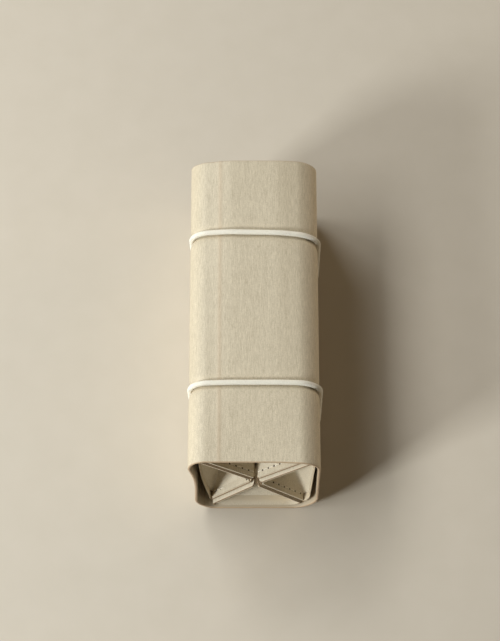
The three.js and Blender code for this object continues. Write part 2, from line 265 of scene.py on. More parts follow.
def sheet_edge(length, thickness, step):
    """The closed outline of a sheet seen along its line: places along the roll, depths and a mark on cut edges."""
    round_off = EDGE_ROUND * thickness
    flat = np.linspace(-length / 2 + round_off, length / 2 - round_off, int(length / step))
    out, down = round_off * np.sin(EDGE_TURN), round_off * (1 - np.cos(EDGE_TURN))
    y = np.concatenate([length / 2 - round_off + out, (length / 2 - round_off + out)[::-1]])
    d = np.concatenate([down, (thickness - down)[::-1]])
    places = np.concatenate([flat, y, flat[::-1], -y])
    depths = np.concatenate([np.zeros(len(flat)), d, np.full(len(flat), thickness), d[::-1]])
    cut = np.concatenate([np.zeros(len(flat)), np.ones(len(y)), np.zeros(len(flat)), np.ones(len(y))])
    return places, depths, cut


def leather_sheet(name, line, slope, inward, thickness, length, rounded, step, wander, soft=EDGE_ROUND, shift=0.0,
                  skived=None, thin_from=0.0, worn=None, trimmed=None):
    """A sheet along a line. Its long edges are rounded by the share soft of its thickness where rounded says so,
    wander makes it uneven and shift moves it along the roll. The other values go row by row: where skived is 1 the
    cut ends are pared thin, leaving the skin at depth thin_from; where worn is above 0 the outer face takes on that
    much of the cut edge's colour; and trimmed shortens the sheet at both ends."""
    places, depths, cut = sheet_edge(length, thickness, step)
    skived, worn, trimmed = (np.zeros(len(line)) if v is None else v for v in (skived, worn, trimmed))
    rows = [(line[i], inward[i], 1.0, worn[i], skived[i], trimmed[i]) for i in range(len(line))]
    for at_end, i, way in ((0, 0, -1), (1, -1, 1)):
        if rounded[at_end]:
            extra = [
                (line[i] + way * slope[i] * soft * thickness * math.sin(a), inward[i],
                 1 - 2 * soft * (1 - math.cos(a)), 1.0, skived[i], trimmed[i])
                for a in EDGE_TURN
            ]
            rows = rows + extra if at_end else extra[::-1] + rows
    pared = PARED_AWAY * smoothstep(np.abs(places), length / 2 - PARED_WIDTH, length / 2)
    near_end = np.clip(np.abs(places) - length / 2 + TRIM_REACH, 0, TRIM_REACH) / TRIM_REACH
    points, through, edge = [], [], []
    for place, across, squeeze, end, skive, trim in rows:
        depth = thickness / 2 + (depths - thickness / 2) * squeeze
        depth = depth + (thin_from * thickness - depth) * pared * skive
        slow = np.sin(places * SLOW_WAVE[0] + place[0] * SLOW_WAVE[1])
        quick = np.sin(places * QUICK_WAVE[0] + place[1] * QUICK_WAVE[1])
        offset = depth + wander * (slow + QUICK_SHARE * quick)
        x, z = place[0] + across[0] * offset, place[1] + across[1] * offset
        points.append(np.stack([x, places - np.sign(places) * near_end * trim + shift, z], axis=1))
        through.append(depth / thickness)
        edge.append(np.maximum(cut * (1 - PARED_PALER * skive), end * (1 if end == 1 else depths < thickness / 2)))
    ring = len(places)
    faces = []
    for row in range(len(rows) - 1):
        for i in range(ring):
            a, b = row * ring + i, row * ring + (i + 1) % ring
            faces.append((a, b, b + ring, a + ring))
    faces.append(tuple(reversed(range(ring))))
    faces.append(tuple(range((len(rows) - 1) * ring, len(rows) * ring)))
    mesh = bpy.data.meshes.new(name)
    mesh.from_pydata((domed(pinched(drawn_up(np.concatenate(points)))) * MM).tolist(), [], faces)
    for label, values in (("through", through), ("cut_edge", edge)):
        data = mesh.attributes.new(label, "FLOAT", "POINT").data
        data.foreach_set("value", np.concatenate(values).astype(np.float32))
    return tidy_normals(put_in_scene(name, mesh))


print("an edge outline has", len(sheet_edge(LENGTH, COVER_LEATHER, 2.0)[0]), "points")

# %% [markdown]
# ## Shared finishes
# Both leathers have the same grain at different strengths, so the grain is a node group with named inputs.
# It mixes fibres that run along the roll, specks, pits and soft blotches, and the material keeps its own shader.

# %% Leather grain group
FIBRE_SCALES, FIBRE_SHARES = ((520.0, 14.0, 520.0), (2600.0, 240.0, 2600.0)), (0.5, 2.2)
BLOTCH_SHARE, SPECK_SHARE = 0.25, 1.8
PIT_HEIGHT, SPECK_HEIGHT, STREAK_HEIGHT = 0.4, 0.5, 0.5
SOCKET_KINDS = {
    float: "NodeSocketFloat", int: "NodeSocketInt", tuple: "NodeSocketVector", type(None): "NodeSocketMaterial"}


def connect(tree, socket, value):
    """Links an input to another node's output, or gives it a plain value."""
    if isinstance(value, bpy.types.NodeSocket):
        tree.links.new(value, socket)
    else:
        socket.default_value = value


def add(tree, kind, settings=(), **inputs):
    node = tree.nodes.new(kind)
    for key, value in dict(settings).items():
        setattr(node, key, value)
    for key, value in inputs.items():
        connect(tree, node.inputs[key.replace("_", " ")], value)
    return node


def add_inputs(tree, **inputs):
    """Named inputs of a node group with their starting values. An input without one takes a material."""
    for key, value in inputs.items():
        kind = SOCKET_KINDS[type(value)]
        socket = tree.interface.new_socket(key.replace("_", " "), in_out="INPUT", socket_type=kind)
        if value is not None:
            socket.default_value = value


def math_node(tree, operation, first, second=0.0):
    node = add(tree, "ShaderNodeMath", {"operation": operation})
    connect(tree, node.inputs[0], first)
    connect(tree, node.inputs[1], second)
    return node.outputs[0]


def leather_grain():
    tree = bpy.data.node_groups.new("leather_grain", "ShaderNodeTree")
    add_inputs(tree, Pore_size=1300.0, Streaks=0.5)
    for name in ("Tone", "Height"):
        tree.interface.new_socket(name, in_out="OUTPUT", socket_type="NodeSocketFloat")
    inside = tree.nodes.new("NodeGroupInput").outputs
    calc = partial(math_node, tree)
    place = tree.nodes.new("ShaderNodeTexCoord").outputs["Object"]
    pores = add(tree, "ShaderNodeTexVoronoi", Vector=place, Scale=inside["Pore size"], Randomness=1.0)
    fine = add(tree, "ShaderNodeTexNoise", Vector=place, Scale=2600.0, Detail=3.0).outputs[0]
    blotch = add(tree, "ShaderNodeTexNoise", Vector=place, Scale=38.0, Detail=4.0).outputs[0]
    fibres = []
    for scale, share in zip(FIBRE_SCALES, FIBRE_SHARES):
        stretch = add(tree, "ShaderNodeMapping", Vector=place, Scale=scale)
        strand = add(tree, "ShaderNodeTexNoise", Vector=stretch.outputs[0], Scale=1.0, Detail=4.0, Roughness=0.6)
        fibres.append(calc("MULTIPLY", calc("SUBTRACT", strand.outputs[0], 0.5), share))
    streaks = calc("MULTIPLY", calc("ADD", *fibres), inside["Streaks"])
    patches = calc("MULTIPLY", calc("SUBTRACT", blotch, 0.5), BLOTCH_SHARE)
    specks = calc("MULTIPLY", calc("SUBTRACT", fine, 0.5), SPECK_SHARE)
    tone = calc("ADD", calc("ADD", streaks, patches), specks)
    rough = calc("MULTIPLY", fine, SPECK_HEIGHT)
    pitted = calc("MULTIPLY", pores.outputs["Distance"], PIT_HEIGHT)
    height = calc("ADD", calc("ADD", pitted, rough), calc("MULTIPLY", streaks, STREAK_HEIGHT))
    add(tree, "NodeGroupOutput", Tone=calc("ADD", tone, 0.5), Height=height)
    return tree


grain = leather_grain()
print("leather grain:", len(grain.nodes), "nodes")

# %% [markdown]
# ## Materials
# The leather's grain side is pale and smooth, the flesh side is browner and the cut edge browner still.
# The trays' cut edges are darker again: partly their real brown, partly painted shade for the gaps between layers.
# The sheet's own attributes say which is which, so one material finishes a whole sheet.
# Elastic, thread and stitch holes are small, so a speckled colour is enough for them. The holes' dark colour is
# painted shade, standing in for the shade inside a hole.

# %% Leather, elastic and thread materials
MIX_FACTOR, MIX_A, MIX_B, MIX_RESULT = 0, 6, 7, 2  # sockets of a Mix node for colours


def srgb(red, green, blue):
    levels = [c / 255 for c in (red, green, blue)]
    return [c / 12.92 if c <= 0.04045 else ((c + 0.055) / 1.055) ** 2.4 for c in levels] + [1.0]


def blended(tree, factor, dark, light):
    mix = add(tree, "ShaderNodeMix", {"data_type": "RGBA"})
    for place, value in ((MIX_FACTOR, factor), (MIX_A, dark), (MIX_B, light)):
        connect(tree, mix.inputs[place], value)
    return mix.outputs[MIX_RESULT]


def new_material(name, roughness):
    material = bpy.data.materials.new(name)
    material.use_nodes = True
    shader = material.node_tree.nodes["Principled BSDF"]
    shader.inputs["Roughness"].default_value = roughness
    return material, material.node_tree, shader


def dress(tree, shader, colour, height, bump, distance):
    """Gives a shader its colour and its raised surface."""
    raised = add(tree, "ShaderNodeBump", Strength=bump, Distance=distance, Height=height)
    connect(tree, shader.inputs["Base Color"], colour)
    connect(tree, shader.inputs["Normal"], raised.outputs[0])


def leather(name, dark, light, flesh, cut, pore_size, streaks, roughness, bump, sheen):
    material, tree, shader = new_material(name, roughness)
    shader.inputs["Sheen Weight"].default_value = sheen
    group = add(tree, "ShaderNodeGroup", {"node_tree": grain}, Pore_size=pore_size, Streaks=streaks)
    colour = blended(tree, group.outputs["Tone"], dark, light)
    for attribute, other in (("through", flesh), ("cut_edge", cut)):
        share = add(tree, "ShaderNodeAttribute", {"attribute_name": attribute})
        colour = blended(tree, share.outputs["Fac"], colour, other)
    dress(tree, shader, colour, group.outputs["Height"], bump, distance=0.0002)
    return material


def speckled(name, dark, light, scale, roughness, bump):
    material, tree, shader = new_material(name, roughness)
    place = tree.nodes.new("ShaderNodeTexCoord").outputs["Object"]
    noise = add(tree, "ShaderNodeTexNoise", Vector=place, Scale=scale, Detail=3.0).outputs[0]
    dress(tree, shader, blended(tree, noise, dark, light), noise, bump, distance=0.0001)
    return material


def finish_piece(obj, material):
    obj.data.materials.clear()
    obj.data.materials.append(material)


cover_leather = leather(
    "cover_leather", dark=srgb(180, 166, 139), light=srgb(213, 199, 171), flesh=srgb(190, 173, 145),
    cut=srgb(184, 158, 126), pore_size=1300.0, streaks=0.9, roughness=0.6, bump=0.3, sheen=0.05)
# The tray's cut colour is partly the edges' real brown and partly painted shade for the shadowed gaps between layers.
tray_leather = leather(
    "tray_leather", dark=srgb(190, 175, 148), light=srgb(218, 206, 182), flesh=srgb(206, 190, 162),
    cut=srgb(132, 106, 76), pore_size=1600.0, streaks=0.8, roughness=0.68, bump=0.3, sheen=0.0)
elastic_cord = speckled(
    "elastic_cord", srgb(226, 218, 198), srgb(246, 241, 228), scale=1500.0, roughness=0.85, bump=0.4)
seam_thread = speckled(
    "seam_thread", srgb(222, 210, 186), srgb(242, 234, 216), scale=2500.0, roughness=0.8, bump=0.4)
# The holes' dark colour is painted shade: a thin disc standing in for the shade inside a hole.
stitch_hole = speckled(
    "stitch_hole", srgb(46, 34, 22), srgb(70, 54, 36), scale=900.0, roughness=0.9, bump=0.3)
finishes = (cover_leather, tray_leather, elastic_cord, seam_thread, stitch_hole)
print("materials:", ", ".join(finish.name for finish in finishes))

# %% [markdown]
# ## The cover
# The cover is one piece of leather bent round three corners. A piece can follow one fold only, so it is made as three
# stretches that meet where nothing moves between them, each round its own corner.
# A faint crease runs along the top, and the free edge meets the bottom in a hairline at the lower left.

# %% Cover
COVER_STEP, COVER_WANDER = 1.2, 0.05
FREE_EDGE_GAP, FREE_EDGE_SOFT = 0.1, 0.1
TOP_BAND, RIDGE_X, RIDGE_REACH, RIDGE_POINTS = 0.5, -17.6, 3, 15
CREASE_WIDTH, CREASE_RISE, CREASE_WEAR = 1.1, 0.1, 0.35
VALLEY_OFFSET, VALLEY_WIDTH, VALLEY_DROP = 3.2, 2.2, 0.06
TOP_TRIM, TRIM_HEIGHTS, TRIM_ACROSS = 0.6, (57.0, 65.0), (8.0, 28.0)


def cover_line():
    """The cover's outer line from its free edge round the roll, with its points close together at the crease."""
    parts = [turned(turn, cover_side(side)) for turn, side in enumerate(SIDES)]
    line = np.concatenate([parts[0]] + [part[1:] for part in parts[1:]])
    for end, beside in ((0, 1), (-1, -2)):
        line[end] += unit(line[beside] - line[end]) * (FREE_EDGE_GAP / 2 + FREE_EDGE_SOFT * COVER_LEATHER)
    at_ridge = (line[:, 1] > SIDE - TOP_BAND) & (np.abs(line[:, 0] - RIDGE_X) < RIDGE_REACH)
    start, stop = np.flatnonzero(at_ridge)[[0, -1]]
    close = np.linspace(line[start], line[stop], RIDGE_POINTS)
    return np.concatenate([line[:start], close, line[stop + 1:]])


line = cover_line()
slope, inward = inward_of(line)
right_split, top_split = (
    int(np.argmin(np.hypot(line[:, 0] - x, line[:, 1] - z))) for x, z in ((HALF, HALF), (RIDGE_X, SIDE)))
on_top, from_ridge = line[:, 1] > SIDE - TOP_BAND, line[:, 0] - RIDGE_X
crease = np.exp(-(from_ridge / CREASE_WIDTH) ** 2) * on_top
valley = np.exp(-((from_ridge + VALLEY_OFFSET) / VALLEY_WIDTH) ** 2) * on_top
line = line + inward * (VALLEY_DROP * valley - CREASE_RISE * crease)[:, None]
fall_back = TOP_TRIM * smoothstep(line[:, 1], *TRIM_HEIGHTS) * (1 - smoothstep(line[:, 0], *TRIM_ACROSS))

# Each stretch: its part of the line, bodies, where the bend starts and ends, nodes and rounded edges.
stretches = {
    "cover_under_and_right": (
        slice(0, right_split + 1), ("bottom_side", "right_side"),
        (HALF - LOWER_RIGHT, 0), (HALF, LOWER_RIGHT), ["cover_bottom_panel"], (True, False)),
    "cover_right_and_top": (
        slice(right_split, top_split + 1), ("right_side", "top_side"),
        (HALF, SIDE - UPPER_RIGHT), (HALF - UPPER_RIGHT, SIDE), ["cover_right_panel", "cover_top_panel"],
        (False, False)),
    "cover_top_and_left": (
        slice(top_split, len(line)), ("top_side", "left_side"),
        (UPPER_LEFT - HALF, SIDE), (-HALF, SIDE - UPPER_LEFT), ["cover_left_panel"], (False, True)),
}
for name, (part, bodies, start, end, nodes, rounded) in stretches.items():
    piece = leather_sheet(
        name, line[part], slope[part], inward[part], COVER_LEATHER, LENGTH, rounded, COVER_STEP, COVER_WANDER,
        soft=FREE_EDGE_SOFT, worn=CREASE_WEAR * crease[part], trimmed=fall_back[part])
    finish_piece(piece, cover_leather)
    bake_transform(piece)
    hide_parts(*nodes)

# %% [markdown]
# ## The trays
# Each tray is folded from one thin blank: a base that follows the cover and two walls that lean to the middle.
# It is made as two halves that meet along the middle of the base, one for each wall and its fold.
# The ends of the four trays are not quite level, the walls' tips are rounded and the bases are pared at their ends,
# as in hand-folded leather.

# %% Lay out a tray
FOLD_ROUND, WALL_EASE, FOOT_INSET = 1.6, 0.25, 1.3
WALL_LEATHER = TRAY_LEATHER - WALL_EASE / 2
WALL_POINTS, TIP_POINTS, BEND_POINTS = 28, 7, 9


def lay_tray(turn):
    side = SIDES[turn]
    cross = np.array([(CROSS_SHIFT, 0), (0, -CROSS_SHIFT), (-CROSS_SHIFT, 0), (0, CROSS_SHIFT)][turn], float)
    corners = side_corners(side, LEFT_TRAY_RADIUS, LEFT_TRAY_TUCK, RIGHT_TRAY_TUCK)
    if side == "left":
        corners = ((corners[0][0], corners[0][1] - LEFT_STAND_OFF), corners[1])
    folds = [math.atan2(*(middle - cross)[::-1]) % (4 * QUARTER) for middle, _ in corners]
    return {
        "cross": cross,
        "corners": corners,
        "folds": folds,
        "half_mouth": (folds[1] - folds[0]) / 2,
        "depth": COVER_LEATHER + TRAY_GAPS[side],
        "bulge": LEFT_BULGE if side == "left" else 0.0,
        "foot_inset": FOOT_INSET if side == "bottom" else 0.0,
        "shift": TRAY_SHIFTS[side],
    }


def lay_wall(tray, way):
    corner, corner_radius = tray["corners"][0 if way < 0 else 1]
    up = tray["cross"] - corner
    reach = np.linalg.norm(up)
    up = up / reach
    inner = way * np.array([-up[1], up[0]])
    half = tray["half_mouth"]
    return {
        "up": up,
        "inner": inner,
        "radius": corner_radius - tray["depth"],
        "point": lambda along, offset: corner + up * along + inner * offset,
        "top": lambda gap, offset: reach - TIP_EASE - (gap / 2 + offset * math.cos(half)) / math.sin(half),
    }


def wall_outline(tray, way):
    """A wall, its corner with the base, and its outer line from there to its mouth."""
    wall = lay_wall(tray, way)
    outside = WALL_GAP / 2 + WALL_EASE
    foot = -math.sqrt(wall["radius"] ** 2 - outside ** 2)
    tip = wall["top"](MOUTH_GAP, outside + WALL_LEATHER) - EDGE_ROUND * WALL_LEATHER
    corner = wall["point"](foot, outside)
    rounding = tip - TIP_ROUND * (1 - np.sin(np.linspace(0, QUARTER, TIP_POINTS)))
    steps = np.concatenate([np.linspace(foot + FOLD_ROUND, tip - TIP_ROUND, WALL_POINTS)[:-1], rounding])
    around = np.array([wall["point"](a, outside) for a in steps])
    return wall, corner, around


def tray_outline(tray):
    """A tray's whole outer line, the index of its base's middle, and each wall with its corner."""
    base = skin(tray["corners"], tray["depth"], tray["folds"], bulge=tray["bulge"])
    t = np.linspace(0, 1, BEND_POINTS)[1:-1, None]
    walls, lines = [], []
    for way in (-1, 1):
        wall, corner, around = wall_outline(tray, way)
        base = base[np.hypot(*(base - corner).T) > FOLD_ROUND]
        near = base[0] if way < 0 else base[-1]
        begin = corner + unit(near - corner) * FOLD_ROUND
        bend = begin * (1 - t) ** 2 + 2 * corner * t * (1 - t) + around[0] * t ** 2
        walls.append((wall, corner))
        lines.append(np.concatenate([bend, around]))
    return np.concatenate([lines[0][::-1], base, lines[1]]), len(lines[0]) + len(base) // 2, walls


print("trays:", len(SIDES), "with", len(tray_outline(lay_tray(0))[0]), "points round each")

# %% Trays
TRAY_STEP, TRAY_WANDER, PARED_ACROSS, TURN_BAND = 1.0, 0.03, (0.5, 5.0), (0.1, 1.3)

for turn, side in enumerate(SIDES):
    tray = lay_tray(turn)
    whole, middle, (first, second) = tray_outline(tray)
    placed = turned(turn, whole)
    along, across = inward_of(placed)
    for label, part, tip, (wall, corner), rounded in (
        ("first", slice(0, middle + 1), whole[0], first, (True, False)),
        ("second", slice(middle, len(placed)), whole[-1], second, (False, True)),
    ):
        towards_base = unit(whole[middle] - corner)
        reach = whole[part] - corner
        from_fold = np.linalg.norm(reach, axis=1) * (reach @ towards_base > reach @ wall["up"])
        from_tip = np.linalg.norm(whole[part] - tip, axis=1)
        short = TIP_ROUND - np.sqrt(TIP_ROUND ** 2 - np.clip(TIP_ROUND - from_tip, 0, TIP_ROUND) ** 2)
        piece = leather_sheet(
            f"{side}_tray_{label}_half", placed[part], along[part], across[part], WALL_LEATHER, TRAY_LENGTH, rounded,
            TRAY_STEP, TRAY_WANDER, shift=tray["shift"], skived=smoothstep(from_fold, *PARED_ACROSS),
            thin_from=0.0 if side == "bottom" else 1.0, trimmed=short)
        finish_piece(piece, tray_leather)
        split = unit(wall["up"] - towards_base)
        start, end = turned(turn, [corner + split * away for away in TURN_BAND])
        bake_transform(piece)
        nodes = [f"{side}_tray_{label}_wall"] + ([f"{side}_tray_base"] if label == "first" else [])
        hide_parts(*nodes)

# %% [markdown]
# ## The folded ends
# Each tray's end is a gusset: a strip sewn inside each wall, and panels folded inwards between the strips.
# It is made as two halves that meet in the tray's middle. Each half is a grid of points, smoothed once so that its
# folds are round, and then given its thickness.

# %% Gusset halves
STRIP_LEATHER, STRIP_SETBACK, SEAM_WIDTH, SEAM_SPREAD = 0.85, 0.3, 4.2, 1.0
GUSSET_DEPTH, GUSSET_RISE, GUSSET_RIM_DEPTH = 13.4, 8.5, 11.8
FLOOR_POINTS, SEAM_POINTS, PANEL_POINTS, STRIP_POINTS = 14, 17, 11, 6
FLOOR_DEPTH = 0.55 * TRAY_LEATHER
WELD, SLIVER = 2e-6, 1e-6
HINGE_UP, HINGE_IN, HINGE_SPAN = 3 * TRAY_LEATHER, 2 * TRAY_LEATHER, 10.0


def seam_line(tray, way):
    """The foot and top of the strip that is sewn inside a wall's end."""
    wall = lay_wall(tray, way)
    middle = WALL_GAP / 2 + WALL_EASE + WALL_LEATHER + STRIP_LEATHER / 2
    inner = middle + TRAY_LEATHER / 2
    foot = -math.sqrt((wall["radius"] - TRAY_LEATHER - CLEARANCE) ** 2 - inner ** 2) + TRAY_LEATHER / 2
    top = wall["top"](SEAM_SPREAD, inner) - TRAY_LEATHER / 2
    return wall["point"](foot, middle), wall["point"](top, middle)


def gusset_half(tray, way):
    """Grids of points over the strip, the wall-side panel and the base-side panel of half a gusset."""
    (foot, top), (far_foot, far_top) = seam_line(tray, way), seam_line(tray, -way)
    foot_middle, rim = (foot + far_foot) / 2, (top + far_top) / 2
    rise = unit(tray["cross"] - foot_middle)
    crease = foot_middle + rise * GUSSET_RISE
    floor = skin(tray["corners"], tray["depth"] + FLOOR_DEPTH, tray["folds"], bulge=tray["bulge"])
    aside = np.cross(floor - foot_middle, rise)
    order = np.argsort(aside)
    reach = np.linspace(np.cross(foot - foot_middle, rise), 0, FLOOR_POINTS)[1:]
    base = np.stack([np.interp(reach, aside[order], floor[order, i]) for i in (0, 1)], axis=1)
    base = np.concatenate([[foot], base])

    def place(point, depth):
        return np.array([point[0], depth - TRAY_LENGTH / 2, point[1]])

    u, v = np.linspace(0, 1, SEAM_POINTS), np.linspace(0, 1, PANEL_POINTS)
    edge, fold = foot + (top - foot) * u[:, None], crease + (rim - crease) * u[:, None]
    depths = GUSSET_DEPTH + (GUSSET_RIM_DEPTH - GUSSET_DEPTH) * u
    insets = tray["foot_inset"] * smoothstep(np.linspace(0, 1, len(base)), 0.0, 0.5)
    strip = [[place(p, d) for d in np.linspace(STRIP_SETBACK, SEAM_WIDTH, STRIP_POINTS)] for p in edge]
    wall_side = [[place(p + (q - p) * t, SEAM_WIDTH + d * t) for t in v] for p, q, d in zip(edge, fold, depths)]
    base_side = [
        [place(b + (crease - b) * t, SEAM_WIDTH + d * (1 - t) + GUSSET_DEPTH * t) for t in v]
        for b, d in zip(base, insets)]
    return [strip, wall_side, base_side], rise


def object_from(name, bm):
    mesh = bpy.data.meshes.new(name)
    bm.to_mesh(mesh)
    bm.free()
    return put_in_scene(name, mesh)


def mesh_from_grids(name, grids, turn, end, shift):
    bm = bmesh.new()
    for grid in grids:
        rows = []
        for row in grid:
            row = np.array(row)
            placed = turned(turn, row[:, [0, 2]])
            spots = domed(np.stack([placed[:, 0], end * row[:, 1] + shift, placed[:, 1]], axis=1))
            rows.append([bm.verts.new(spot) for spot in (spots * MM).tolist()])
        for a, b in zip(rows, rows[1:]):
            for i in range(len(a) - 1):
                bm.faces.new((a[i], a[i + 1], b[i + 1], b[i]))
    bmesh.ops.remove_doubles(bm, verts=bm.verts, dist=WELD)
    bmesh.ops.dissolve_degenerate(bm, dist=SLIVER, edges=bm.edges)
    bmesh.ops.recalc_face_normals(bm, faces=bm.faces)
    return object_from(name, bm)


def settle(obj):
    """Turns an object with modifiers into a plain mesh."""
    shown = obj.evaluated_get(bpy.context.evaluated_depsgraph_get())
    mesh = bpy.data.meshes.new_from_object(shown)
    obj.modifiers.clear()
    obj.data = mesh
    mesh.shade_smooth()
    mesh.set_sharp_from_angle(angle=SHARP_FOLD)
    return obj


for turn, side in enumerate(SIDES):
    tray = lay_tray(turn)
    for end, end_name in ((1, "front"), (-1, "rear")):
        for way, label in ((-1, "first"), (1, "second")):
            grids, rise = gusset_half(tray, way)
            piece = mesh_from_grids(f"{side}_{end_name}_gusset_{label}_half", grids, turn, end, tray["shift"])
            smooth = piece.modifiers.new("round_folds", "SUBSURF")
            smooth.levels = smooth.render_levels = 1
            smooth.boundary_smooth = "PRESERVE_CORNERS"
            thick = piece.modifiers.new("leather", "SOLIDIFY")
            thick.thickness, thick.offset = STRIP_LEATHER * MM, 0
            settle(piece)
            finish_piece(piece, tray_leather)
            wall = lay_wall(tray, way)
            foot = wall["point"](-wall["radius"] + HINGE_UP, HINGE_IN)
            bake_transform(piece)
            if label == "first":
                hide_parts(f"{side}_tray_{end_name}_gusset")
    print(side, "gussets:", len(piece.data.polygons), "faces in a half")

# %% [markdown]
# ## The stitches
# A row of thread runs along each wall near its ends and holds the gusset. Stitches repeat along a line, so Geometry
# Nodes set one small thread arch and a thin disc of painted hole shade at every step of the pitch, and the tree ends
# in a plain mesh.
# One wall is only part sewn, so the tree also takes how many stitches are sewn and from where holes stay open.

# %% Stitch tree
ARCH_STEPS, THREAD_SIDES, HOLE_SIDES, HOLE_DEPTH = 7, 6, 12, 0.00006
ALL_SEWN = NONE_OPEN = 99  # more than any row has


def geometry_tree(name, **inputs):
    """A Geometry Nodes tree with named inputs, and what its first node gives."""
    tree = bpy.data.node_groups.new(name, "GeometryNodeTree")
    tree.interface.new_socket("Geometry", in_out="INPUT", socket_type="NodeSocketGeometry")
    add_inputs(tree, **inputs)
    tree.interface.new_socket("Geometry", in_out="OUTPUT", socket_type="NodeSocketGeometry")
    return tree, tree.nodes.new("NodeGroupInput").outputs


def realised(tree, geometry, finish):
    """Real geometry with its material, to end a branch."""
    real = add(tree, "GeometryNodeRealizeInstances", Geometry=geometry)
    return add(tree, "GeometryNodeSetMaterial", Geometry=real.outputs[0], Material=finish).outputs[0]


def stitch_tree():
    tree, inside = geometry_tree(
        "stitch_row", Pitch=0.004, Length=0.0026, Arch=0.0007, Thread=0.00026, Hole=0.0005, Sewn=ALL_SEWN,
        Open_from=NONE_OPEN, Face=(0, 0, 1), Thread_finish=None, Hole_finish=None)
    calc = partial(math_node, tree)
    curve = add(tree, "GeometryNodeMeshToCurve", Mesh=inside["Geometry"])
    steps = add(tree, "GeometryNodeResampleCurve", {"mode": "LENGTH"},
                Curve=curve.outputs[0], Length=inside["Pitch"])
    tangent = tree.nodes.new("GeometryNodeInputTangent").outputs[0]
    along = add(tree, "FunctionNodeAlignRotationToVector", {"axis": "X"}, Vector=tangent)
    upright = add(tree, "FunctionNodeAlignRotationToVector", {"axis": "Z", "pivot_axis": "X"},
                  Rotation=along.outputs[0], Vector=inside["Face"])
    middle = calc("MULTIPLY", inside["Pitch"], 0.5)
    half = calc("MULTIPLY", inside["Length"], 0.5)
    start, peak, end = (
        add(tree, "ShaderNodeCombineXYZ", X=forward, Z=up).outputs[0] for forward, up in (
            (calc("SUBTRACT", middle, half), 0.0), (middle, inside["Arch"]), (calc("ADD", middle, half), 0.0)))
    arch = add(tree, "GeometryNodeCurveQuadraticBezier", Resolution=ARCH_STEPS, Start=start, Middle=peak, End=end)
    ring = add(tree, "GeometryNodeCurvePrimitiveCircle", Resolution=THREAD_SIDES, Radius=inside["Thread"])
    thread = add(tree, "GeometryNodeCurveToMesh", Curve=arch.outputs[0], Profile_Curve=ring.outputs[0],
                 Fill_Caps=True)
    hole = add(tree, "GeometryNodeMeshCylinder", Vertices=HOLE_SIDES, Depth=HOLE_DEPTH, Radius=inside["Hole"])
    number = tree.nodes.new("GeometryNodeSplineParameter").outputs["Index"]
    sewn = calc("LESS_THAN", number, inside["Sewn"])
    left_open = calc("GREATER_THAN", number, calc("SUBTRACT", inside["Open from"], 0.5))
    pierced = calc("MAXIMUM", sewn, left_open)
    whole = tree.nodes.new("GeometryNodeJoinGeometry")
    for part, kept, finish in (
        (hole.outputs["Mesh"], pierced, "Hole finish"), (thread.outputs[0], sewn, "Thread finish"),
    ):
        spread = add(tree, "GeometryNodeInstanceOnPoints", Points=steps.outputs[0], Instance=part, Selection=kept,
                     Rotation=upright.outputs[0])
        connect(tree, whole.inputs[0], realised(tree, spread.outputs[0], inside[finish]))
    add(tree, "NodeGroupOutput", Geometry=whole.outputs[0])
    return tree


def set_inputs(modifier, **values):
    for item in modifier.node_group.interface.items_tree:
        key = item.name.replace(" ", "_")
        if item.in_out == "INPUT" and key in values:
            modifier[item.identifier] = values[key]


stitches = stitch_tree()
print("stitch tree:", len(stitches.nodes), "nodes")

# %% Stitch rows
STITCH_PITCH, FOOT_CLEAR, MOUTH_CLEAR, STITCH_INSET = 4.0, 3.0, 4.0, 3.4
CLOSE_PITCH, CLOSE_FOOT, CLOSE_MOUTH, CLOSE_INSET, SEWN_THERE = 3.0, 1.8, 2.2, 1.7, 3
ROW_POINTS = 13


def stitch_rows(name, wall, turn, shift, foot, top, offset, pitch, top_inset, sewn=ALL_SEWN, open_from=NONE_OPEN):
    """Rows of stitches near both ends of a wall, at an inset that may change from its foot to its top."""
    bm = bmesh.new()
    ends = turned(turn, [wall["point"](foot, offset), wall["point"](top, offset)])
    line = np.linspace(ends[0], ends[1], ROW_POINTS)
    for end in (1, -1):
        y = shift - end * (TRAY_LENGTH / 2 - np.linspace(STITCH_INSET, top_inset, ROW_POINTS))
        spots = domed(np.stack([line[:, 0], y, line[:, 1]], axis=1))
        verts = [bm.verts.new(spot) for spot in (spots * MM).tolist()]
        for pair in zip(verts, verts[1:]):
            bm.edges.new(pair)
    obj = object_from(name, bm)
    face = turned(turn, [wall["inner"], (0, 0)])
    face = face[0] - face[1]
    rows = obj.modifiers.new("stitches", "NODES")
    rows.node_group = stitches
    set_inputs(rows, Face=(float(face[0]), 0.0, float(face[1])), Pitch=pitch * MM, Sewn=sewn, Open_from=open_from,
               Thread_finish=seam_thread, Hole_finish=stitch_hole)
    return settle(obj)


inside_face = WALL_GAP / 2 + WALL_EASE + WALL_LEATHER + STRIP_LEATHER
for turn, side in enumerate(SIDES):
    tray = lay_tray(turn)
    for way, label in ((-1, "first"), (1, "second")):
        wall = lay_wall(tray, way)
        part_sewn = (side, label) == ("left", "second")
        pitch, foot_clear, mouth_clear, top_inset = (
            (CLOSE_PITCH, CLOSE_FOOT, CLOSE_MOUTH, CLOSE_INSET) if part_sewn
            else (STITCH_PITCH, FOOT_CLEAR, MOUTH_CLEAR, STITCH_INSET))
        foot = -wall["radius"] + TRAY_LEATHER + foot_clear
        top = wall["top"](SEAM_SPREAD, inside_face) - mouth_clear
        counts = (SEWN_THERE, int((top - foot) / pitch)) if part_sewn else ()
        row = stitch_rows(f"{side}_{label}_wall_stitches", wall, turn, tray["shift"], foot, top, inside_face, pitch,
                          top_inset, *counts)
        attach(row, f"{side}_{label}_wall")
    print(side, "stitches:", len(row.data.polygons), "faces on a wall")

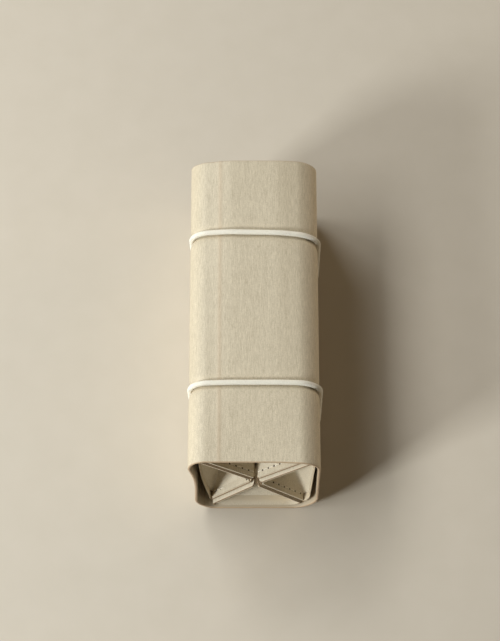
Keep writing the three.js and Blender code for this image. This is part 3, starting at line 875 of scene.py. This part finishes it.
# %% [markdown]
# ## The elastic loops
# Each loop is round braided elastic drawn taut round the roll. Its strands follow one path, half of them turning each
# way and passing over and under each other, so Geometry Nodes wind them: the path is copied once for each strand,
# every point moves out by the cord's radius at its own angle, and a thin profile is swept along.

# %% Loop path
STRANDS, TURNS, LOOP_POINTS = 6, 30, 1440
LOOP_CORNER_STEPS, LOOP_STRAIGHT_POINTS = 16, 26


def loop_path(name):
    y, skew = ELASTICS[name]
    away, lift = ELASTIC_CLEARANCE + ELASTIC_DIAMETER / 2 - BITE, ELASTIC_LIFT - BITE
    corners = [
        (np.array([x, z]), radius + away) for x, z, radius in (
            (TUCK + LOWER_LEFT - HALF, LOWER_LEFT + lift, LOWER_LEFT),
            (HALF - LOWER_RIGHT, LOWER_RIGHT + lift, LOWER_RIGHT),
            (HALF - UPPER_RIGHT, SIDE - UPPER_RIGHT, UPPER_RIGHT),
            (UPPER_LEFT - HALF + LEFT_BITE, SIDE - UPPER_LEFT, UPPER_LEFT))]
    points = []
    for i, corner in enumerate(corners):
        start = facing_between(corners[i - 1], corner)
        turn = (facing_between(corner, corners[(i + 1) % 4]) - start) % (4 * QUARTER)
        bend = arc(*corner, start, start + turn, LOOP_CORNER_STEPS)
        if points:
            points.append(np.linspace(points[-1][-1], bend[0], LOOP_STRAIGHT_POINTS)[1:-1])
        points.append(bend)
    section = np.concatenate(points)
    placed = np.stack([
        section[:, 0] * math.cos(skew), y + section[:, 0] * math.sin(skew), section[:, 1]], axis=1)
    return domed(placed)


path = loop_path("front")
print("a loop is", round(float(length_of(np.concatenate([path, path[:1]]))), 1), "mm round")

# %% Braid tree
STRAND_SIDES, CORE_SIDES = 5, 12


def braid_tree():
    tree, inside = geometry_tree(
        "braided_cord", Strands=STRANDS, Turns=TURNS, Points=LOOP_POINTS, Radius=0.00102, Over=0.0001,
        Strand=0.00028, Core=0.00105, Finish=None)
    calc = partial(math_node, tree)
    joined = tree.nodes.new("GeometryNodeJoinGeometry")

    def vector(operation, first, second):
        node = add(tree, "ShaderNodeVectorMath", {"operation": operation})
        connect(tree, node.inputs[0], first)
        connect(tree, node.inputs["Scale" if operation == "SCALE" else 1], second)
        return node.outputs[0]

    def sweep(curve, sides, radius):
        ring = add(tree, "GeometryNodeCurvePrimitiveCircle", Resolution=sides, Radius=radius)
        cord = add(tree, "GeometryNodeCurveToMesh", Curve=curve, Profile_Curve=ring.outputs[0])
        connect(tree, joined.inputs[0], cord.outputs[0])

    steps = add(tree, "GeometryNodeResampleCurve", Curve=inside["Geometry"], Count=inside["Points"])
    share = tree.nodes.new("GeometryNodeSplineParameter").outputs["Factor"]
    normal = tree.nodes.new("GeometryNodeInputNormal").outputs[0]
    tangent = tree.nodes.new("GeometryNodeInputTangent").outputs[0]
    side = vector("CROSS_PRODUCT", tangent, normal)
    wound = calc("MULTIPLY", calc("MULTIPLY", share, inside["Turns"]), 2 * math.pi)
    weave = calc("COSINE", calc("MULTIPLY", wound, inside["Strands"]))
    for way in (1.0, -1.0):
        copies = add(tree, "GeometryNodeDuplicateElements", {"domain": "SPLINE"},
                     Geometry=steps.outputs[0], Amount=inside["Strands"])
        part = calc("DIVIDE", copies.outputs["Duplicate Index"], inside["Strands"])
        angle = calc("ADD", calc("MULTIPLY", wound, way), calc("MULTIPLY", part, 2 * math.pi))
        over = calc("MULTIPLY", calc("MULTIPLY", weave, way), inside["Over"])
        lifted = calc("ADD", inside["Radius"], over)
        out = vector("SCALE", normal, calc("MULTIPLY", calc("COSINE", angle), lifted))
        aside = vector("SCALE", side, calc("MULTIPLY", calc("SINE", angle), lifted))
        put = add(tree, "GeometryNodeSetPosition", Geometry=copies.outputs["Geometry"],
                  Offset=vector("ADD", out, aside))
        sweep(put.outputs[0], STRAND_SIDES, inside["Strand"])
    sweep(inside["Geometry"], CORE_SIDES, inside["Core"])
    add(tree, "NodeGroupOutput", Geometry=realised(tree, joined.outputs[0], inside["Finish"]))
    return tree


braid = braid_tree()
print("braid tree:", len(braid.nodes), "nodes")

# %% Loops
for name in ELASTICS:
    path = loop_path(name)
    curve = bpy.data.curves.new(f"{name}_loop_path", "CURVE")
    curve.dimensions = "3D"
    spline = curve.splines.new("POLY")
    spline.points.add(len(path) - 1)
    spline.points.foreach_set("co", np.concatenate([path * MM, np.ones((len(path), 1))], axis=1).ravel())
    spline.use_cyclic_u = True
    guide = put_in_scene(f"{name}_loop_path", curve)
    winding = guide.modifiers.new("braid", "NODES")
    winding.node_group = braid
    set_inputs(winding, Finish=elastic_cord)
    mesh = bpy.data.meshes.new_from_object(guide.evaluated_get(bpy.context.evaluated_depsgraph_get()))
    loop = tidy_normals(put_in_scene(f"{name}_braided_loop", mesh))
    bpy.data.objects.remove(guide)
    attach(loop, f"{name}_elastic")
    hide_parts(f"{name}_elastic_loop")
    print(name, "loop:", len(mesh.polygons), "faces")

# %% [markdown]
# ## Floor and light
# The floor is a plain pale beige. The main light is a large lamp on the left, like a window, so the left corner is
# bright, the right side falls off and a soft shadow lies to the right. A lamp at the front left lights the folded
# end, one behind lights the far floor, and a weak warm one opens the shadow on the right. The world adds very little
# light, and only the camera sees it as a pale backdrop.

# %% Floor, lights and world
FLOOR_REACH = 3
BACKDROP = srgb(200, 190, 171)
WORLD_COLOUR, WORLD_STRENGTH = (1.0, 0.88, 0.7, 1), 0.04

floor_mesh = bpy.data.meshes.new("floor")
floor_corners = [(x * FLOOR_REACH, y * FLOOR_REACH, 0) for x, y in ((-1, -1), (1, -1), (1, 1), (-1, 1))]
floor_mesh.from_pydata(floor_corners, [], [(0, 1, 2, 3)])
floor_mesh.materials.append(speckled(
    "pale_floor", srgb(196, 185, 166), srgb(202, 191, 173), scale=60.0, roughness=0.9, bump=0.02))
floor = put_in_scene("floor", floor_mesh)


def area_light(name, place, target, size, watts, colour):
    """A rectangular lamp: its size is its length along the floor and its height."""
    lamp = put_in_scene(name, bpy.data.lights.new(name, "AREA"))
    lamp.location = place
    lamp.rotation_euler = (Vector(target) - Vector(place)).to_track_quat("-Z", "Y").to_euler()
    lamp.data.shape = "RECTANGLE"
    lamp.data.size, lamp.data.size_y = size
    lamp.data.energy, lamp.data.color = watts, colour


area_light("window", place=(-0.81, 0.03, 1.02), target=(0, 0, 0.03),
           size=(1.08, 0.38), watts=9.9, colour=(0.96, 0.98, 1.0))
area_light("front_fill", place=(-1.12, -0.78, 0.66), target=(0, -0.08, 0.03),
           size=(0.3, 0.3), watts=18.6, colour=(0.9, 0.955, 1.0))
area_light("back_fill", place=(-0.6, 0.88, 1.05), target=(0, 0.1, 0.03),
           size=(0.54, 0.4), watts=7.4, colour=(0.92, 0.965, 1.0))
area_light("right_fill", place=(0.95, 0.45, 0.2), target=(0, 0, 0.04),
           size=(0.5, 0.3), watts=3.2, colour=(1.0, 0.84, 0.64))

world = bpy.data.worlds.new("studio")
world.use_nodes = True
tree = world.node_tree
lighting = tree.nodes["Background"]
lighting.inputs["Color"].default_value = WORLD_COLOUR
lighting.inputs["Strength"].default_value = WORLD_STRENGTH
backdrop = add(tree, "ShaderNodeBackground", Color=BACKDROP)
ray, seen = tree.nodes.new("ShaderNodeLightPath"), tree.nodes.new("ShaderNodeMixShader")
for place, source in enumerate((ray.outputs["Is Camera Ray"], lighting.outputs[0], backdrop.outputs[0])):
    connect(tree, seen.inputs[place], source)
connect(tree, tree.nodes["World Output"].inputs["Surface"], seen.outputs[0])
scene.world = world
scene.view_settings.view_transform = "Standard"
